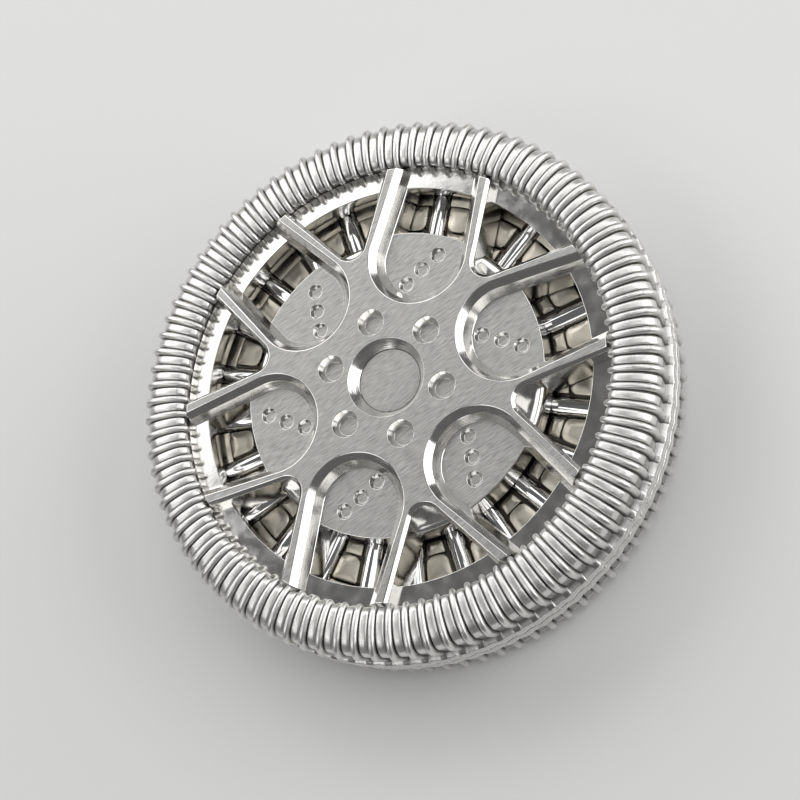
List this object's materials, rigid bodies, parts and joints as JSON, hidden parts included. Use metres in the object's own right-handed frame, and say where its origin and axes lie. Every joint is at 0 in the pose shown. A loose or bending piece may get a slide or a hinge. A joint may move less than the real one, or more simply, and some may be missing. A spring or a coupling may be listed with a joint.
{
  "type": "wheel fidget toy",
  "caption": "Palm-sized metal fidget toy shaped as a spoked alloy wheel; its two halves turn against each other on a flat needle-roller bearing.",
  "frame": {"origin": "on the wheel axis, level with the lowest rib crests of the rear half, which the toy lies on", "axes": "+Z along the wheel axis from the rear half to the front half; +X through one of the six round dimples round the hub"},
  "size_m": [0.056, 0.056, 0.0126],
  "materials": {
    "wheel": "brushed faces with polished bevels",
    "tyre": "glossy cast ribs",
    "cap": "fine brushed",
    "fastener": "turned",
    "cage": "warm nickel plate",
    "roller": "polished"
  },
  "bodies": {
    "rear_half": {"rear_wheel": "wheel", "rear_tyre": "tyre", "rear_cap": "cap", "spindle": "fastener", "spindle_nut": "fastener"},
    "front_half": {"front_wheel": "wheel", "front_tyre": "tyre", "front_cap": "cap"},
    "cage": {"bearing_cage": "cage"},
    "roller_01": {"roller_01": "roller"},
    "roller_02": {"roller_02": "roller"},
    "roller_03": {"roller_03": "roller"},
    "roller_04": {"roller_04": "roller"},
    "roller_05": {"roller_05": "roller"},
    "roller_06": {"roller_06": "roller"},
    "roller_07": {"roller_07": "roller"},
    "roller_08": {"roller_08": "roller"},
    "roller_09": {"roller_09": "roller"},
    "roller_10": {"roller_10": "roller"},
    "roller_11": {"roller_11": "roller"},
    "roller_12": {"roller_12": "roller"},
    "roller_13": {"roller_13": "roller"},
    "roller_14": {"roller_14": "roller"},
    "roller_15": {"roller_15": "roller"},
    "roller_16": {"roller_16": "roller"},
    "roller_17": {"roller_17": "roller"},
    "roller_18": {"roller_18": "roller"},
    "roller_19": {"roller_19": "roller"},
    "roller_20": {"roller_20": "roller"},
    "roller_21": {"roller_21": "roller"},
    "roller_22": {"roller_22": "roller"},
    "roller_23": {"roller_23": "roller"},
    "roller_24": {"roller_24": "roller"}
  },
  "joints": [
    {"name": "front_spin", "type": "hinge", "parent": "rear_half", "child": "front_half", "pos_m": [0, 0, 0.0063], "axis": [0, 0, 1], "continuous": true},
    {"name": "cage_spin", "type": "hinge", "parent": "rear_half", "child": "cage", "pos_m": [0, 0, 0.0063], "axis": [0, 0, 1], "continuous": true},
    {"name": "roller_01_roll", "type": "hinge", "parent": "cage", "child": "roller_01", "pos_m": [0.01897, 0.00106, 0.0063], "axis": [0.9984, 0.0558, 0], "continuous": true},
    {"name": "roller_02_roll", "type": "hinge", "parent": "cage", "child": "roller_02", "pos_m": [0.01805, 0.00593, 0.0063], "axis": [0.95, 0.3123, 0], "continuous": true},
    {"name": "roller_03_roll", "type": "hinge", "parent": "cage", "child": "roller_03", "pos_m": [0.0159, 0.0104, 0.0063], "axis": [0.8368, 0.5476, 0], "continuous": true},
    {"name": "roller_04_roll", "type": "hinge", "parent": "cage", "child": "roller_04", "pos_m": [0.01266, 0.01416, 0.0063], "axis": [0.6665, 0.7455, 0], "continuous": true},
    {"name": "roller_05_roll", "type": "hinge", "parent": "cage", "child": "roller_05", "pos_m": [0.00857, 0.01696, 0.0063], "axis": [0.4509, 0.8926, 0], "continuous": true},
    {"name": "roller_06_roll", "type": "hinge", "parent": "cage", "child": "roller_06", "pos_m": [0.00389, 0.0186, 0.0063], "axis": [0.2045, 0.9789, 0], "continuous": true},
    {"name": "roller_07_roll", "type": "hinge", "parent": "cage", "child": "roller_07", "pos_m": [-0.00106, 0.01897, 0.0063], "axis": [-0.0558, 0.9984, 0], "continuous": true},
    {"name": "roller_08_roll", "type": "hinge", "parent": "cage", "child": "roller_08", "pos_m": [-0.00593, 0.01805, 0.0063], "axis": [-0.3123, 0.95, 0], "continuous": true},
    {"name": "roller_09_roll", "type": "hinge", "parent": "cage", "child": "roller_09", "pos_m": [-0.0104, 0.0159, 0.0063], "axis": [-0.5476, 0.8368, 0], "continuous": true},
    {"name": "roller_10_roll", "type": "hinge", "parent": "cage", "child": "roller_10", "pos_m": [-0.01416, 0.01266, 0.0063], "axis": [-0.7455, 0.6665, 0], "continuous": true},
    {"name": "roller_11_roll", "type": "hinge", "parent": "cage", "child": "roller_11", "pos_m": [-0.01696, 0.00857, 0.0063], "axis": [-0.8926, 0.4509, 0], "continuous": true},
    {"name": "roller_12_roll", "type": "hinge", "parent": "cage", "child": "roller_12", "pos_m": [-0.0186, 0.00389, 0.0063], "axis": [-0.9789, 0.2045, 0], "continuous": true},
    {"name": "roller_13_roll", "type": "hinge", "parent": "cage", "child": "roller_13", "pos_m": [-0.01897, -0.00106, 0.0063], "axis": [-0.9984, -0.0558, 0], "continuous": true},
    {"name": "roller_14_roll", "type": "hinge", "parent": "cage", "child": "roller_14", "pos_m": [-0.01805, -0.00593, 0.0063], "axis": [-0.95, -0.3123, 0], "continuous": true},
    {"name": "roller_15_roll", "type": "hinge", "parent": "cage", "child": "roller_15", "pos_m": [-0.0159, -0.0104, 0.0063], "axis": [-0.8368, -0.5476, 0], "continuous": true},
    {"name": "roller_16_roll", "type": "hinge", "parent": "cage", "child": "roller_16", "pos_m": [-0.01266, -0.01416, 0.0063], "axis": [-0.6665, -0.7455, 0], "continuous": true},
    {"name": "roller_17_roll", "type": "hinge", "parent": "cage", "child": "roller_17", "pos_m": [-0.00857, -0.01696, 0.0063], "axis": [-0.4509, -0.8926, 0], "continuous": true},
    {"name": "roller_18_roll", "type": "hinge", "parent": "cage", "child": "roller_18", "pos_m": [-0.00389, -0.0186, 0.0063], "axis": [-0.2045, -0.9789, 0], "continuous": true},
    {"name": "roller_19_roll", "type": "hinge", "parent": "cage", "child": "roller_19", "pos_m": [0.00106, -0.01897, 0.0063], "axis": [0.0558, -0.9984, 0], "continuous": true},
    {"name": "roller_20_roll", "type": "hinge", "parent": "cage", "child": "roller_20", "pos_m": [0.00593, -0.01805, 0.0063], "axis": [0.3123, -0.95, 0], "continuous": true},
    {"name": "roller_21_roll", "type": "hinge", "parent": "cage", "child": "roller_21", "pos_m": [0.0104, -0.0159, 0.0063], "axis": [0.5476, -0.8368, 0], "continuous": true},
    {"name": "roller_22_roll", "type": "hinge", "parent": "cage", "child": "roller_22", "pos_m": [0.01416, -0.01266, 0.0063], "axis": [0.7455, -0.6665, 0], "continuous": true},
    {"name": "roller_23_roll", "type": "hinge", "parent": "cage", "child": "roller_23", "pos_m": [0.01696, -0.00857, 0.0063], "axis": [0.8926, -0.4509, 0], "continuous": true},
    {"name": "roller_24_roll", "type": "hinge", "parent": "cage", "child": "roller_24", "pos_m": [0.0186, -0.00389, 0.0063], "axis": [0.9789, -0.2045, 0], "continuous": true}
  ],
  "couplings": [
    {"joint": "cage_spin", "follows": "front_spin", "ratio": 0.5},
    {"joint": "roller_01_roll", "follows": "front_spin", "ratio": -9.5},
    {"joint": "roller_02_roll", "follows": "front_spin", "ratio": -9.5},
    {"joint": "roller_03_roll", "follows": "front_spin", "ratio": -9.5},
    {"joint": "roller_04_roll", "follows": "front_spin", "ratio": -9.5},
    {"joint": "roller_05_roll", "follows": "front_spin", "ratio": -9.5},
    {"joint": "roller_06_roll", "follows": "front_spin", "ratio": -9.5},
    {"joint": "roller_07_roll", "follows": "front_spin", "ratio": -9.5},
    {"joint": "roller_08_roll", "follows": "front_spin", "ratio": -9.5},
    {"joint": "roller_09_roll", "follows": "front_spin", "ratio": -9.5},
    {"joint": "roller_10_roll", "follows": "front_spin", "ratio": -9.5},
    {"joint": "roller_11_roll", "follows": "front_spin", "ratio": -9.5},
    {"joint": "roller_12_roll", "follows": "front_spin", "ratio": -9.5},
    {"joint": "roller_13_roll", "follows": "front_spin", "ratio": -9.5},
    {"joint": "roller_14_roll", "follows": "front_spin", "ratio": -9.5},
    {"joint": "roller_15_roll", "follows": "front_spin", "ratio": -9.5},
    {"joint": "roller_16_roll", "follows": "front_spin", "ratio": -9.5},
    {"joint": "roller_17_roll", "follows": "front_spin", "ratio": -9.5},
    {"joint": "roller_18_roll", "follows": "front_spin", "ratio": -9.5},
    {"joint": "roller_19_roll", "follows": "front_spin", "ratio": -9.5},
    {"joint": "roller_20_roll", "follows": "front_spin", "ratio": -9.5},
    {"joint": "roller_21_roll", "follows": "front_spin", "ratio": -9.5},
    {"joint": "roller_22_roll", "follows": "front_spin", "ratio": -9.5},
    {"joint": "roller_23_roll", "follows": "front_spin", "ratio": -9.5},
    {"joint": "roller_24_roll", "follows": "front_spin", "ratio": -9.5}
  ]
}
